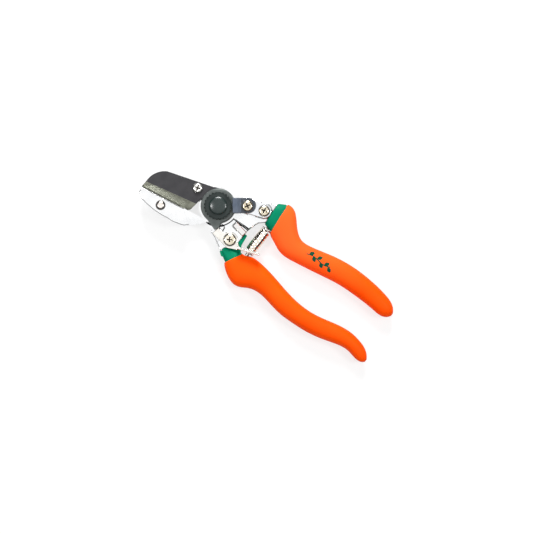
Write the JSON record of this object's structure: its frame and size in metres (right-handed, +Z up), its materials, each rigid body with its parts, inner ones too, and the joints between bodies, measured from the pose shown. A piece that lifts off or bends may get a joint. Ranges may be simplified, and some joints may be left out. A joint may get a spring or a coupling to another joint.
{
  "type": "pruning shears",
  "caption": "One-hand anvil pruning shears: coated straight blade closing on a chrome anvil jaw, toothed pivot nut, thumb catch, return coil and dipped grips.",
  "frame": {"origin": "on the pivot axis, in the plane the shears rest on (underside of the pivot bolt head)", "axes": "+X from the pivot towards the grips, +Y towards the blade and the upper handle, +Z up out of the resting plane to the nut"},
  "size_m": [0.2048, 0.0699, 0.0189],
  "materials": {
    "frame_steel": "bright polished plate",
    "insert_alloy": "satin soft alloy",
    "rivet_chrome": "polished dome",
    "bolt_black": "black oxide",
    "bushing_brass": "oiled",
    "washer_steel": "spring steel",
    "nut_black": "black oxide",
    "cap_black": "glossy black",
    "plate_black": "blued black",
    "screw_nickel": "warm nickel plate",
    "bar_chrome": "bright",
    "liner_green": "semi-matte",
    "grip_orange": "smooth dipped vinyl",
    "seat_steel": "plain",
    "spring_steel": "bright strip",
    "blade_coated": "non-stick coat, ground bevel",
    "disc_black": "black oxide",
    "stop_chrome": "bright",
    "catch_chrome": "bright"
  },
  "bodies": {
    "anvil_handle": {"anvil_frame": "frame_steel", "anvil_insert": "insert_alloy", "anvil_rivet": "rivet_chrome", "pivot_bolt": "bolt_black", "pivot_bushing": "bushing_brass", "wave_washer": "washer_steel", "pivot_nut": "nut_black", "nut_cap": "cap_black", "lock_plate": "plate_black", "lock_plate_screw": "screw_nickel", "lock_bar": "bar_chrome", "lock_bar_screw": "screw_nickel", "upper_grip_liner": "liner_green", "upper_grip": "grip_orange", "upper_spring_seat": "seat_steel", "coil_spring": "spring_steel"},
    "blade_handle": {"blade_frame": "frame_steel", "blade": "blade_coated", "blade_screw": "screw_nickel", "pivot_disc": "disc_black", "stop_block": "stop_chrome", "lower_spring_seat": "seat_steel", "lower_grip_liner": "liner_green", "lower_grip": "grip_orange", "catch_screw": "screw_nickel", "catch_washer": "washer_steel"},
    "catch": {"catch_lever": "catch_chrome"}
  },
  "joints": [
    {"name": "handle_pivot", "type": "hinge", "parent": "anvil_handle", "child": "blade_handle", "pos_m": [0, 0, 0.0107], "axis": [0, 0, -1], "range_deg": [0, 28], "deforming": ["coil_spring"]},
    {"name": "catch_pivot", "type": "hinge", "parent": "blade_handle", "child": "catch", "pos_m": [0.0215, -0.0141, 0.011], "axis": [0, 0, 1], "range_deg": [-8, 14]}
  ]
}
